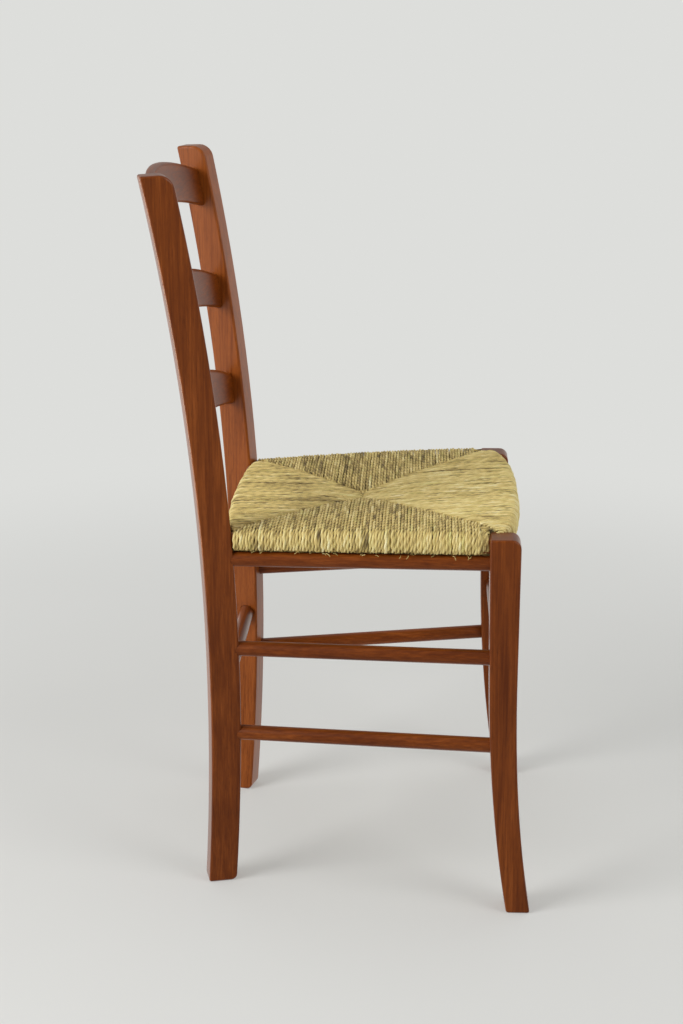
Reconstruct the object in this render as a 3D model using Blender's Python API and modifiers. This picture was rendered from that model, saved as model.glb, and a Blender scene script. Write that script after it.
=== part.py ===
"""Ladder-back dining chair with a woven rush seat.

Metres, +Z up. The chair's front faces -Y and its left-right middle is X = 0. The origin is on the
floor, at the centre of the chair's box. "left" is +X and "right" is -X, as a person sitting in it
would say. Every joint is a real one: tenons and rod ends sit in blind mortises and sockets.
"""

import math

import bmesh
import bpy
from mathutils import Matrix, Vector

MM = 0.001

# Whole chair
HEIGHT = 882 * MM
GAP = 0.3 * MM  # between two pieces that touch
TENON_DEPTH = 13 * MM
TENON_ROOT = 6 * MM  # how far a tenon reaches back into its own rail or slat
EDGE_ROUND = 3 * MM
LEG_STATIONS = 26
FRONT_STATIONS = 20
SIDES = {"left": 1, "right": -1}

# Rear legs, which carry on up as the posts of the back. The line of the post's middle is two
# parabolas that meet at KNEE_Z: the foot kicks back a little and the back sweeps back a lot.
POST_DEPTH = 36.9 * MM
POST_FOOT_DEPTH = 35.2 * MM
POST_WIDTH = 31 * MM
POST_TURN = math.radians(14.5)  # front faces turned inwards, square to the bowed slats
POST_Y = 139.65 * MM
KNEE_Z = 260 * MM
FOOT_KICK = 9.6 * MM
BACK_SWEEP = 62.8 * MM
POST_FOOT_X = 140 * MM
POST_SPLAY = 0.0639  # sideways lean at the floor
POST_CURL = -0.0165  # change of that lean, per metre of height
POST_CUT = math.radians(2.5)  # slope of the post's top, which falls towards the back
POST_CROWN = 15 * MM  # radius of the rounded front corner at the top
POST_TOE = 7 * MM  # radius of the rounded front corner at the foot

# Front legs, sabre shaped: straight at the top, curving forwards to the foot
FRONT_HEIGHT = 470.4 * MM
FRONT_WIDTH = 37 * MM
FRONT_TOP_DEPTH = 36.6 * MM
FRONT_FOOT_DEPTH = 28.8 * MM
FRONT_Y = -196.5 * MM
FRONT_LEAN = 1.5 * MM
SABRE_START_Z = 300 * MM
SABRE_KICK = 22.2 * MM
SABRE_POWER = 2.2
FRONT_FOOT_X = 206.9 * MM
FRONT_TOP_X = 201.3 * MM
FRONT_CROWN = 11 * MM  # radius of the rounded front corner at the top

# Back slats: (name, height of the ends' middle, height at the ends, height at the middle, arch).
# The arch is how far the middle of the slat's own middle line stands above its ends' middle.
SLATS = (
    ("top_slat", 829.3 * MM, 48 * MM, 50.5 * MM, 20 * MM),
    ("middle_slat", 694.5 * MM, 45 * MM, 51 * MM, 22.5 * MM),
    ("lower_slat", 565 * MM, 41 * MM, 55 * MM, 20 * MM),
)
SLAT_THICKNESS = 12 * MM
SLAT_BOW = 23 * MM
SLAT_SETBACK = 1.15 * MM  # behind the middle of the post's inner face
SLAT_EDGE_ROUND = 4.5 * MM
SLAT_STATIONS = 24
SLAT_SHOULDER = 2 * MM

# Round rods: (name, height at the rear leg, height at the front leg)
ROD_RADIUS = 9.2 * MM
ROD_CHAMFER = 1 * MM
ROD_STEPS = 24
ROD_DEPTH = 17 * MM  # how far a rod's end goes into a leg
SIDE_RODS = (
    ("seat_rod", 428.3 * MM, 437.4 * MM),
    ("upper_stretcher", 313.2 * MM, 321 * MM),
    ("lower_stretcher", 202 * MM, 210.3 * MM),
)
FRONT_STRETCHER_Z = 286 * MM
REAR_STRETCHER_Z = 256 * MM

# Seat frame: four rails under the rush
RAIL_HEIGHT = 18 * MM
SIDE_RAIL_WIDTH = 14 * MM
FRONT_RAIL_WIDTH = 16 * MM
REAR_RAIL_WIDTH = 14 * MM
RAIL_ROUND = 4 * MM
RAIL_REAR_Z = 452 * MM
RAIL_FRONT_Z = 459 * MM
REAR_RAIL_Y = 129.8 * MM
SIDE_RAIL_REAR_X = 168 * MM
TENON_WIDTH = 8 * MM
REAR_TENON_WIDTH = 6.5 * MM
REAR_TENON_DEPTH = 11 * MM
TENON_HEIGHT = 11 * MM
REAR_TENON_SET = 3.75 * MM  # the rear rail's tenons are flush with its back face

# Rush: the crest is the line along the top of the roll round each rail
CREST_REAR_Z = 467 * MM
CREST_FRONT_Z = 478.5 * MM
UNDER_REAR_Z = 441 * MM
UNDER_FRONT_Z = 447 * MM
DISH_DEPTH = 12.4 * MM
DISH_SPREAD = 0.33
UNDER_DISH = 4 * MM
SEAT_CENTRE_Y = -24.2 * MM
ROLL = 12 * MM  # from the crest out to the roll's outer face
RUSH_FRONT_Y = -207.2 * MM
FRONT_BULGE = 11.5 * MM
RUSH_REAR_Y = 138.8 * MM
REAR_BULGE = 3.5 * MM
RUSH_REAR_X = 179.5 * MM
RUSH_FRONT_X = 214 * MM
RUSH_CELLS = 16
ROLL_CELLS = 6
FRONT_NOTCH_X = 177 * MM  # the rush stops here beside a front leg
FRONT_NOTCH_Y = -165.2 * MM
REAR_NOTCH_X = 146 * MM
REAR_NOTCH_Y = 119.8 * MM
TUNNEL_GAP = 0.5 * MM

WOOD = (0.155, 0.045, 0.018, 1)
ROD_WOOD = (0.135, 0.038, 0.015, 1)
RAIL_WOOD = (0.2, 0.085, 0.038, 1)
RUSH = (0.52, 0.41, 0.18, 1)
WOOD_ROUGHNESS = 0.35
RUSH_ROUGHNESS = 0.8


# ---- scene helpers ----


def clear_scene():
    for obj in list(bpy.data.objects):
        bpy.data.objects.remove(obj, do_unlink=True)


def new_collection(name):
    collection = bpy.data.collections.new(name)
    bpy.context.scene.collection.children.link(collection)
    return collection


def add_material(obj, colour, roughness):
    material = bpy.data.materials.new(obj.name)
    material.use_nodes = True
    shader = material.node_tree.nodes["Principled BSDF"]
    shader.inputs["Base Color"].default_value = colour
    shader.inputs["Roughness"].default_value = roughness
    shader.inputs["Metallic"].default_value = 0
    obj.data.materials.append(material)


def add_object(name, bm, collection):
    bmesh.ops.recalc_face_normals(bm, faces=bm.faces)
    mesh = bpy.data.meshes.new(name)
    bm.to_mesh(mesh)
    bm.free()
    obj = bpy.data.objects.new(name, mesh)
    collection.objects.link(obj)
    return obj


def as_cutter(obj):
    obj.hide_render = True
    obj.display_type = "WIRE"
    return obj


def boolean(obj, other, operation):
    modifier = obj.modifiers.new(f"{operation.lower()} {other.name}", "BOOLEAN")
    modifier.operation = operation
    modifier.solver = "EXACT"
    modifier.object = other


def shade_round(obj, angle):
    obj.data.shade_smooth()
    obj.data.set_sharp_from_angle(angle=math.radians(angle))


def soften(obj, width, segments=3):
    """Rounds the edges that carry a bevel weight."""
    modifier = obj.modifiers.new("rounded edges", "BEVEL")
    modifier.limit_method = "WEIGHT"
    modifier.width = width
    modifier.segments = segments


def weigh_sharp_edges(bm, angle=35):
    weight = bm.edges.layers.float.new("bevel_weight_edge")
    for edge in bm.edges:
        if edge.calc_face_angle(0) > math.radians(angle):
            edge[weight] = 1


# ---- the lines that the legs follow ----


def post_middle(z):
    """Middle of the left post at height z."""
    if z < KNEE_Z:
        back = FOOT_KICK * (1 - z / KNEE_Z) ** 2
    else:
        back = BACK_SWEEP * ((z - KNEE_Z) / (HEIGHT - KNEE_Z)) ** 2
    across = POST_FOOT_X + POST_SPLAY * z + POST_CURL * z * z
    return Vector((across, POST_Y + back, z))


def post_depth(z):
    taper = max(0, 1 - z / KNEE_Z)
    return POST_DEPTH + (POST_FOOT_DEPTH - POST_DEPTH) * taper


def post_axes():
    """(outwards, backwards) across the left post's section."""
    turn = Matrix.Rotation(-POST_TURN, 3, "Z")
    return turn @ Vector((1, 0, 0)), turn @ Vector((0, 1, 0))


def post_normals(z):
    """Normals of the left post's outer and back faces at height z."""
    outwards, backwards = post_axes()
    up = post_middle(z + MM) - post_middle(z)
    return backwards.cross(up).normalized(), up.cross(outwards).normalized()


def front_middle(z):
    """Middle of the left front leg at height z."""
    up = z / FRONT_HEIGHT
    sabre = SABRE_KICK * max(0, 1 - z / SABRE_START_Z) ** SABRE_POWER
    forward = FRONT_LEAN * (1 - up) + sabre
    across = FRONT_FOOT_X + (FRONT_TOP_X - FRONT_FOOT_X) * up
    return Vector((across, FRONT_Y - forward, z))


def front_depth(z):
    up = z / FRONT_HEIGHT
    return FRONT_FOOT_DEPTH + (FRONT_TOP_DEPTH - FRONT_FOOT_DEPTH) * up**1.3


def mirrored(point, side):
    return Vector((side * point.x, point.y, point.z))


# ---- legs ----


def leg_blank(height, stations):
    """A box 1 x 1 x height standing on the floor, cut across at evenly spaced stations."""
    bm = bmesh.new()
    bmesh.ops.create_cube(bm, size=1)
    bmesh.ops.translate(bm, vec=(0, 0, 0.5), verts=bm.verts)
    bmesh.ops.scale(bm, vec=(1, 1, height), verts=bm.verts)
    for i in range(1, stations):
        geometry = bm.verts[:] + bm.edges[:] + bm.faces[:]
        level = (0, 0, height * i / stations)
        bmesh.ops.bisect_plane(bm, geom=geometry, plane_co=level, plane_no=(0, 0, 1))
    return bm


def round_front_corner(bm, top, radius):
    """Rounds the front cross edge at the top or the foot of a leg."""
    edges = [edge for edge in bm.edges if abs(edge.verts[0].co.x - edge.verts[1].co.x) > 20 * MM]

    def height(edge):
        return (edge.verts[0].co.z + edge.verts[1].co.z) / 2

    def front(edge):
        return (edge.verts[0].co.y + edge.verts[1].co.y) / 2

    level = max(map(height, edges)) if top else min(map(height, edges))
    ends = [edge for edge in edges if abs(height(edge) - level) < POST_DEPTH / 4]
    corner = min(ends, key=front)
    bmesh.ops.bevel(bm, geom=[corner], offset=radius, segments=5, profile=0.5, affect="EDGES")


def rear_leg(side_name, collection):
    side = SIDES[side_name]
    outwards, backwards = post_axes()
    bm = leg_blank(HEIGHT, LEG_STATIONS)
    for vert in bm.verts:
        u, v, z = vert.co
        point = post_middle(z) + outwards * u * POST_WIDTH + backwards * v * post_depth(z)
        if z > HEIGHT - MM:
            point.z -= ((v + 0.5) * POST_DEPTH - POST_CROWN) * math.tan(POST_CUT)
        vert.co = mirrored(point, side)
    bmesh.ops.recalc_face_normals(bm, faces=bm.faces)
    round_front_corner(bm, True, POST_CROWN)
    round_front_corner(bm, False, POST_TOE)
    weigh_sharp_edges(bm)
    leg = add_object(f"rear_leg_{side_name}", bm, collection)
    add_material(leg, WOOD, WOOD_ROUGHNESS)
    soften(leg, EDGE_ROUND)
    return leg


def front_leg(side_name, collection):
    side = SIDES[side_name]
    bm = leg_blank(FRONT_HEIGHT, FRONT_STATIONS)
    for vert in bm.verts:
        u, v, z = vert.co
        point = front_middle(z) + Vector((u * FRONT_WIDTH, v * front_depth(z), 0))
        vert.co = mirrored(point, side)
    bmesh.ops.recalc_face_normals(bm, faces=bm.faces)
    round_front_corner(bm, True, FRONT_CROWN)
    weigh_sharp_edges(bm)
    leg = add_object(f"front_leg_{side_name}", bm, collection)
    add_material(leg, WOOD, WOOD_ROUGHNESS)
    soften(leg, EDGE_ROUND)
    return leg


# ---- tenons, and the mortises that take them ----


def block(name, place, size, collection):
    """A box of the given size, centred and turned by the matrix place."""
    bm = bmesh.new()
    bmesh.ops.create_cube(bm, size=1)
    bmesh.ops.scale(bm, vec=size, verts=bm.verts)
    obj = add_object(name, bm, collection)
    obj.matrix_world = place
    return obj


def frame_along(direction, up, origin):
    """A matrix with X along direction and Z as near up as it can be."""
    x = direction.normalized()
    y = up.cross(x).normalized()
    z = x.cross(y)
    axes = Matrix((x, y, z)).transposed()
    return Matrix.Translation(origin) @ axes.to_4x4()


def join_tenon(piece, leg, place, depth, width, height, helpers):
    """Gives piece a tenon that leaves its shoulder at place, along X, and cuts its mortise in leg."""
    inside = Matrix.Translation(((depth - TENON_ROOT) / 2, 0, 0))
    size = Vector((depth + TENON_ROOT, width, height))
    tenon = block(f"{piece.name}_tenon_{leg.name}", place @ inside, size, helpers)
    boolean(piece, as_cutter(tenon), "UNION")
    room = size + Vector((2 * GAP, 2 * GAP, 2 * GAP))
    mortise = block(f"{piece.name}_mortise_{leg.name}", place @ inside, room, helpers)
    boolean(leg, as_cutter(mortise), "DIFFERENCE")


# ---- back slats ----


def slat_end(z):
    """Where the middle of a slat's thickness meets the left post's inner face."""
    outwards, backwards = post_axes()
    return post_middle(z) - outwards * (POST_WIDTH / 2 + GAP) + backwards * SLAT_SETBACK


def slat(name, end_z, end_height, middle_height, arch, legs, collection, helpers):
    """A bowed board with arched edges, tenoned into both posts."""
    half = slat_end(end_z).x
    radius = (half**2 + SLAT_BOW**2) / (2 * SLAT_BOW)
    lean = (slat_end(end_z + MM).y - slat_end(end_z).y) / MM
    bm = bmesh.new()
    bmesh.ops.create_cube(bm, size=1)
    for i in range(1, SLAT_STATIONS):
        geometry = bm.verts[:] + bm.edges[:] + bm.faces[:]
        station = (i / SLAT_STATIONS - 0.5, 0, 0)
        bmesh.ops.bisect_plane(bm, geom=geometry, plane_co=station, plane_no=(1, 0, 0))
    weight = bm.edges.layers.float.new("bevel_weight_edge")
    for edge in bm.edges:
        a, b = (vert.co for vert in edge.verts)
        if abs(a.x - b.x) > 1e-6 and edge.calc_face_angle(0) > 1:
            edge[weight] = 1
    for vert in bm.verts:
        u, v, w = vert.co
        end = slat_end(end_z + w * end_height)
        widest = math.asin(end.x / radius)
        angle = 2 * u * widest
        middle = 1 - (2 * u) ** 2
        rise = middle * (arch + w * (middle_height - end_height))
        reach = radius + v * SLAT_THICKNESS
        back = end.y + reach * math.cos(angle) - radius * math.cos(widest) + lean * rise
        vert.co = (reach * math.sin(angle), back, end.z + rise)
    board = add_object(name, bm, collection)
    add_material(board, WOOD, WOOD_ROUGHNESS)
    soften(board, SLAT_EDGE_ROUND)
    slope = math.asin(half / radius)
    up = slat_end(end_z + MM) - slat_end(end_z)
    width = SLAT_THICKNESS - 2 * SLAT_SHOULDER
    height = end_height - 4 * SLAT_SHOULDER
    for side_name, side in SIDES.items():
        along = Vector((side * math.cos(slope), -math.sin(slope), 0))
        place = frame_along(along, mirrored(up, side), mirrored(slat_end(end_z), side))
        join_tenon(board, legs[side_name], place, TENON_DEPTH, width, height, helpers)
    return board


# ---- round rods ----


def turned_bar(name, start, end, radius, collection):
    """A round bar with chamfered ends, turned about its own middle line."""
    half = (end - start).length / 2
    profile = (
        (0, half),
        (radius - ROD_CHAMFER, half),
        (radius, half - ROD_CHAMFER),
        (radius, ROD_CHAMFER - half),
        (radius - ROD_CHAMFER, -half),
        (0, -half),
    )
    bm = bmesh.new()
    points = [bm.verts.new((across, 0, along)) for across, along in profile]
    for a, b in zip(points, points[1:]):
        bm.edges.new((a, b))
    mesh = bpy.data.meshes.new(name)
    bm.to_mesh(mesh)
    bm.free()
    bar = bpy.data.objects.new(name, mesh)
    collection.objects.link(bar)
    bar.location = (start + end) / 2
    bar.rotation_mode = "QUATERNION"
    bar.rotation_quaternion = (end - start).to_track_quat("Z", "Y")
    screw = bar.modifiers.new("turning", "SCREW")
    screw.axis = "Z"
    screw.steps = ROD_STEPS
    screw.render_steps = ROD_STEPS
    screw.use_merge_vertices = True
    screw.merge_threshold = 0.0001
    screw.use_smooth_shade = True
    return bar


def rod(name, start, end, legs, collection, helpers):
    """A round rod whose ends sit in sockets in two legs."""
    bar = turned_bar(name, start, end, ROD_RADIUS, collection)
    add_material(bar, ROD_WOOD, WOOD_ROUGHNESS)
    spare = (end - start).normalized() * GAP
    socket = turned_bar(f"{name}_socket", start - spare, end + spare, ROD_RADIUS + GAP, helpers)
    as_cutter(socket)
    for leg in legs:
        boolean(leg, socket, "DIFFERENCE")
    return bar


def side_rods(rear_legs, front_legs, collection, helpers):
    for base_name, rear_z, front_z in SIDE_RODS:
        for side_name, side in SIDES.items():
            rear = mirrored(post_middle(rear_z), side)
            front = mirrored(front_middle(front_z), side)
            along = (front - rear).normalized()
            start = rear - along * (ROD_DEPTH - POST_DEPTH / 2)
            end = front + along * (ROD_DEPTH - front_depth(front_z) / 2)
            legs = (rear_legs[side_name], front_legs[side_name])
            rod(f"{base_name}_{side_name}", start, end, legs, collection, helpers)


def cross_rod(name, middle, leg_width, legs, collection, helpers):
    """A rod across the chair, between the inner faces of two legs."""
    reach = Vector((middle.x - leg_width / 2 + ROD_DEPTH, 0, 0))
    level = Vector((0, middle.y, middle.z))
    rod(name, level - reach, level + reach, legs.values(), collection, helpers)


# ---- seat rails ----


def rail(name, start, end, width, cuts, collection, helpers):
    """A rail of rounded section from start to end, sawn off at the planes in cuts, and the
    block that clears its tunnel in the rush."""
    place = frame_along(end - start, Vector((0, 0, 1)), (start + end) / 2)
    clear = ((end - start).length, width + 2 * TUNNEL_GAP, RAIL_HEIGHT + 2 * TUNNEL_GAP)
    tunnel = as_cutter(block(f"{name}_tunnel", place, clear, helpers))
    bm = bmesh.new()
    bmesh.ops.create_cube(bm, size=1)
    bmesh.ops.scale(bm, vec=((end - start).length, width, RAIL_HEIGHT), verts=bm.verts)
    weight = bm.edges.layers.float.new("bevel_weight_edge")
    for edge in bm.edges:
        a, b = (vert.co for vert in edge.verts)
        edge[weight] = 1 if abs(a.x - b.x) > RAIL_HEIGHT else 0
    bmesh.ops.transform(bm, matrix=place, verts=bm.verts)
    for point, normal in cuts:
        geometry = bm.verts[:] + bm.edges[:] + bm.faces[:]
        cut = bmesh.ops.bisect_plane(
            bm, geom=geometry, plane_co=point, plane_no=normal, clear_outer=True
        )
        rim = [item for item in cut["geom_cut"] if isinstance(item, bmesh.types.BMEdge)]
        bmesh.ops.contextual_create(bm, geom=rim)
    bar = add_object(name, bm, collection)
    add_material(bar, RAIL_WOOD, WOOD_ROUGHNESS)
    soften(bar, RAIL_ROUND)
    return bar, tunnel


def shoulder(start, end, point, normal):
    """Where the middle line of a rail meets the plane of a leg's face."""
    along = end - start
    return start + along * ((point - start).dot(normal) / along.dot(normal))


def side_rail(side_name, rear_leg_piece, front_leg_piece, collection, helpers):
    side = SIDES[side_name]
    backwards = post_normals(RAIL_REAR_Z)[1]
    start = mirrored(Vector((SIDE_RAIL_REAR_X, POST_Y, RAIL_REAR_Z)), side)
    end = mirrored(front_middle(RAIL_FRONT_Z), side)
    rear_face = post_middle(RAIL_REAR_Z) - backwards * (POST_DEPTH / 2 + GAP)
    front_face = front_middle(RAIL_FRONT_Z)
    front_face.y += front_depth(RAIL_FRONT_Z) / 2 + GAP
    cuts = (
        (mirrored(rear_face, side), mirrored(backwards, side)),
        (mirrored(front_face, side), Vector((0, -1, 0))),
    )
    name = f"seat_rail_{side_name}"
    bar, tunnel = rail(name, start, end, SIDE_RAIL_WIDTH, cuts, collection, helpers)
    ends = ((start - end, cuts[0], rear_leg_piece), (end - start, cuts[1], front_leg_piece))
    for along, cut, leg in ends:
        place = frame_along(along, Vector((0, 0, 1)), shoulder(start, end, *cut))
        join_tenon(bar, leg, place, TENON_DEPTH, TENON_WIDTH, TENON_HEIGHT, helpers)
    return tunnel


def cross_rail(name, y, z, width, face, normal, tenon, legs, collection, helpers):
    """A rail across the chair, and its tunnel. face and normal give the left leg's inner face, and
    tenon is (depth, width, distance behind the rail's middle)."""
    reach = Vector((face.x + width, 0, 0))
    level = Vector((0, y, z))
    start, end = level - reach, level + reach
    cuts = [(mirrored(face, side), mirrored(normal, side)) for side in SIDES.values()]
    bar, tunnel = rail(name, start, end, width, cuts, collection, helpers)
    depth, tenon_width, set_back = tenon
    shift = Vector((0, set_back, 0))
    for (side_name, side), cut in zip(SIDES.items(), cuts):
        foot = shoulder(start + shift, end + shift, *cut)
        place = frame_along(Vector((side, 0, 0)), Vector((0, 0, 1)), foot)
        join_tenon(bar, legs[side_name], place, depth, tenon_width, TENON_HEIGHT, helpers)
    return tunnel


def seat_frame(rear_legs, front_legs, collection, helpers):
    """Makes the four rails, and returns the blocks that clear their tunnels in the rush."""
    tunnels = [
        side_rail(side_name, rear_legs[side_name], front_legs[side_name], collection, helpers)
        for side_name in SIDES
    ]
    front_face = front_middle(RAIL_FRONT_Z) - Vector((FRONT_WIDTH / 2 + GAP, 0, 0))
    tunnels.append(
        cross_rail(
            "seat_rail_front",
            FRONT_Y,
            RAIL_FRONT_Z,
            FRONT_RAIL_WIDTH,
            front_face,
            Vector((1, 0, 0)),
            (TENON_DEPTH, TENON_WIDTH, 0),
            front_legs,
            collection,
            helpers,
        )
    )
    outwards = post_normals(RAIL_REAR_Z)[0]
    rear_face = post_middle(RAIL_REAR_Z) - outwards * (POST_WIDTH / 2 + GAP)
    tunnels.append(
        cross_rail(
            "seat_rail_rear",
            REAR_RAIL_Y,
            RAIL_REAR_Z,
            REAR_RAIL_WIDTH,
            rear_face,
            outwards,
            (REAR_TENON_DEPTH, REAR_TENON_WIDTH, REAR_TENON_SET),
            rear_legs,
            collection,
            helpers,
        )
    )
    return tunnels


# ---- rush ----


def blend(rear, front, y):
    """A value that changes evenly from the rear rail to the front rail."""
    forward = (REAR_RAIL_Y - y) / (REAR_RAIL_Y - FRONT_Y)
    return rear + (front - rear) * forward


def rush_outline(a, b):
    """The crest of the roll for a, b from -1 to 1: a towards +X, b towards the back."""
    front = RUSH_FRONT_Y + ROLL - FRONT_BULGE * (1 - a * a)
    rear = RUSH_REAR_Y - ROLL + REAR_BULGE * (1 - a * a)
    y = front + (rear - front) * (b + 1) / 2
    x = a * (blend(RUSH_REAR_X, RUSH_FRONT_X, y) - ROLL)
    return x, y


def rush_height(x, y, top):
    """Height of the upper or lower face of the rush, which dips towards the middle."""
    width = blend(RUSH_REAR_X, RUSH_FRONT_X, y)
    depth = RUSH_REAR_Y - SEAT_CENTRE_Y if y > SEAT_CENTRE_Y else SEAT_CENTRE_Y - RUSH_FRONT_Y
    away = max(abs(x) / width, abs(y - SEAT_CENTRE_Y) / depth)
    dip = math.exp(-away / DISH_SPREAD)
    if top:
        return blend(CREST_REAR_Z, CREST_FRONT_Z, y) - DISH_DEPTH * dip
    return blend(UNDER_REAR_Z, UNDER_FRONT_Z, y) + UNDER_DISH * dip


def rush_blank():
    """A cube from -1 to 1, cut into a grid on top and into rings down its sides."""
    bm = bmesh.new()
    bmesh.ops.create_cube(bm, size=2)
    for axis, cells in enumerate((RUSH_CELLS, RUSH_CELLS, ROLL_CELLS)):
        normal = Vector([float(i == axis) for i in range(3)])
        for i in range(1, cells):
            geometry = bm.verts[:] + bm.edges[:] + bm.faces[:]
            level = normal * (2 * i / cells - 1)
            bmesh.ops.bisect_plane(bm, geom=geometry, plane_co=level, plane_no=normal)
    return bm


def rush_notches(helpers):
    """Blocks that clear the four corners of the rush round the legs."""
    corners = (
        (FRONT_NOTCH_X, RUSH_FRONT_Y * 2, FRONT_NOTCH_Y),
        (REAR_NOTCH_X, REAR_NOTCH_Y, RUSH_REAR_Y * 2),
    )
    outer_x = RUSH_FRONT_X * 1.5
    for side_name, side in SIDES.items():
        for inner_x, low_y, high_y in corners:
            middle = (side * (inner_x + outer_x) / 2, (low_y + high_y) / 2, RAIL_FRONT_Z)
            size = (outer_x - inner_x, high_y - low_y, HEIGHT / 4)
            place = Matrix.Translation(middle)
            yield as_cutter(block(f"notch_{side_name}", place, size, helpers))


def rush_seat(tunnels, collection, helpers):
    """The woven seat as one solid, with a notch at each leg and a tunnel round each rail."""
    bm = rush_blank()
    for vert in bm.verts:
        a, b, c = vert.co
        x, y = rush_outline(a, b)
        top, under = rush_height(x, y, True), rush_height(x, y, False)
        turn = c * math.pi / 2
        out = Vector((a if abs(a) > 0.999 else 0, b if abs(b) > 0.999 else 0, 0))
        if out.length > 0:
            out = out.normalized() * ROLL * math.cos(turn)
        z = (top + under) / 2 + (top - under) / 2 * math.sin(turn)
        vert.co = Vector((x, y, z)) + out
    seat = add_object("rush_seat", bm, collection)
    add_material(seat, RUSH, RUSH_ROUGHNESS)
    shade_round(seat, 40)
    for cutter in (*rush_notches(helpers), *tunnels):
        boolean(seat, cutter, "DIFFERENCE")
    return seat


# ---- the whole chair ----


def build():
    clear_scene()
    chair = new_collection("dining_chair")
    helpers = new_collection("cutters")
    rear_legs = {side_name: rear_leg(side_name, chair) for side_name in SIDES}
    front_legs = {side_name: front_leg(side_name, chair) for side_name in SIDES}
    for values in SLATS:
        slat(*values, rear_legs, chair, helpers)
    side_rods(rear_legs, front_legs, chair, helpers)
    rear = post_middle(REAR_STRETCHER_Z)
    cross_rod("rear_stretcher", rear, POST_WIDTH, rear_legs, chair, helpers)
    front = front_middle(FRONT_STRETCHER_Z)
    cross_rod("front_stretcher", front, FRONT_WIDTH, front_legs, chair, helpers)
    tunnels = seat_frame(rear_legs, front_legs, chair, helpers)
    rush_seat(tunnels, chair, helpers)


build()
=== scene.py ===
"""The looks of the ladder-back dining chair: woven rush, lacquered wood, studio and camera."""

import math

import bpy
import numpy as np
from mathutils import Matrix, Vector


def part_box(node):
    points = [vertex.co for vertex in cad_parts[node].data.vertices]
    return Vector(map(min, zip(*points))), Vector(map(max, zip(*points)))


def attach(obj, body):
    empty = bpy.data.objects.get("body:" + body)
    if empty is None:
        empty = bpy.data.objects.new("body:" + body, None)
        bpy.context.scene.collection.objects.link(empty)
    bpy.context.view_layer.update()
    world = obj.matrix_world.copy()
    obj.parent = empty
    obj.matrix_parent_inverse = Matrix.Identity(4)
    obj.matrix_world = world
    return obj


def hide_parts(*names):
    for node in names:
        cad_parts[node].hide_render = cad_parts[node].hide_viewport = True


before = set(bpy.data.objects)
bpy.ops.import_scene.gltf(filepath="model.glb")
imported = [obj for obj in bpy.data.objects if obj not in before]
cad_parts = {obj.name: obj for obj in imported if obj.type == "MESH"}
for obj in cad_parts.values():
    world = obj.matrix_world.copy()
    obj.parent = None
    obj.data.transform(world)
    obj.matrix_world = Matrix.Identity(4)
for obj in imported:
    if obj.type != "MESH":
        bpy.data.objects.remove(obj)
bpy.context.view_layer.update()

MM = 0.001
RNG = np.random.default_rng(20)

# ---- where the seat is, in millimetres, read from the frame ----


def box_mm(node):
    """Lowest and highest corner of a CAD solid's box."""
    low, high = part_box(node)
    return np.array(low) / MM, np.array(high) / MM


RUSH_LOW, RUSH_HIGH = box_mm("rush_seat")
FRONT_RAIL_LOW, FRONT_RAIL_HIGH = box_mm("seat_rail_front")
REAR_RAIL_LOW, REAR_RAIL_HIGH = box_mm("seat_rail_rear")
FRONT_LEG_BACK = box_mm("front_leg_left")[1][1]
FRONT_Y = (FRONT_RAIL_LOW[1] + FRONT_RAIL_HIGH[1]) / 2
REAR_Y = (REAR_RAIL_LOW[1] + REAR_RAIL_HIGH[1]) / 2
CENTRE_Y = -24.2

# The seat's shape. A pair for the rear and the front is its value at the rear and the front rail.
CREST_REAR, CREST_FRONT = 467.6, 479.3  # height of the top, away from the dish
UNDER_REAR, UNDER_FRONT = 441.5, 447.5  # height of the underside
DISH, UNDER_DISH = 12.4, 3  # how far the middle of the top dips, and that of the underside rises
DISH_SPREAD = 0.33  # how far the dish reaches, as a share of the way to the rails
SIDE_REAR_X, SIDE_FRONT_X = 179.0, 213.5  # outer face of the side rolls
REAR_EDGE_Y, FRONT_EDGE_Y = 139.3, -218.6  # outer face of the rear and front rolls, at x = 0
END_ROLL, SIDE_ROLL = 10.5, 13.5  # how far out each roll curves from its crest
END_SQUARENESS, SIDE_SQUARENESS = 2.5, 2.3  # 2 is round, and more is squarer
SAG_REAR, SAG_FRONT = 2.6, 0.4  # how far the side cords hang below the end cords
SHOULDER, SHOULDER_WIDTH = 2.3, 24  # how much lower the side rolls' tops are than the seat's surface
SIDE_CROWN = 1.9  # how much the side rolls rise between their ends
CENTRE_HALF = 12.0  # half the short seam across the middle
REAR_CORNER = (159.0, 118.8)  # where the diagonal seams end
FRONT_CORNER = (178.0, -176.0)
SIDE_ROD_RADIUS = 9.2  # of the round rods under the side rolls

# The cords
CORD_RADIUS = 1.74
STEP = 2.2  # between the rings of points along a cord
AROUND = 8  # points in a ring
TWIST = 11.5  # from one crossing of a cord's two strands to the next
LUMP, SIDE_LUMP, FRAY_LUMP = 0.2, 0.23, 0.1  # how far the two strands stand out, of the radius
STRAND_PALE = 0.06  # how much paler the middle of a strand is
GROOVE_PAINTED_SHADE = 0.36  # painted shade: how much darker the grooves between a cord's two strands are painted
END_GROOVE_PAINTED_SHADE = 0.24  # the same for the cords that run fore and aft
EDGE_GROOVE = 0.25  # how much of that painted shade is lost where a cord turns down over a rail
EDGE_PAINTED_LIGHT = 0.03  # painted light: how much paler the cords are painted there
EDGE_FULL = 0.24  # and how much fuller, which closes the gaps between them
TIP_PAINTED_SHADE, TIP_LENGTH = 0.3, 4  # painted shade: how much darker a cord is painted where it goes under, at the seams
DIVE, DIVE_LENGTH = 5.0, 4.0  # how deep it goes under there
SEAM_OVERLAP = 1.5  # how far it starts beyond the seam
TURN_WAVER = (0.5, 25)  # size of a random change along a cord, and how slow it is: in its twist,
WIDTH_WAVER = (0.07, 14)  # in its width, as a share of its radius,
TONE_WAVER = (0.12, 22)  # and in its tone
SIDE_PITCH, END_PITCH = 3.75, 3.7  # between neighbouring cords
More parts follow.
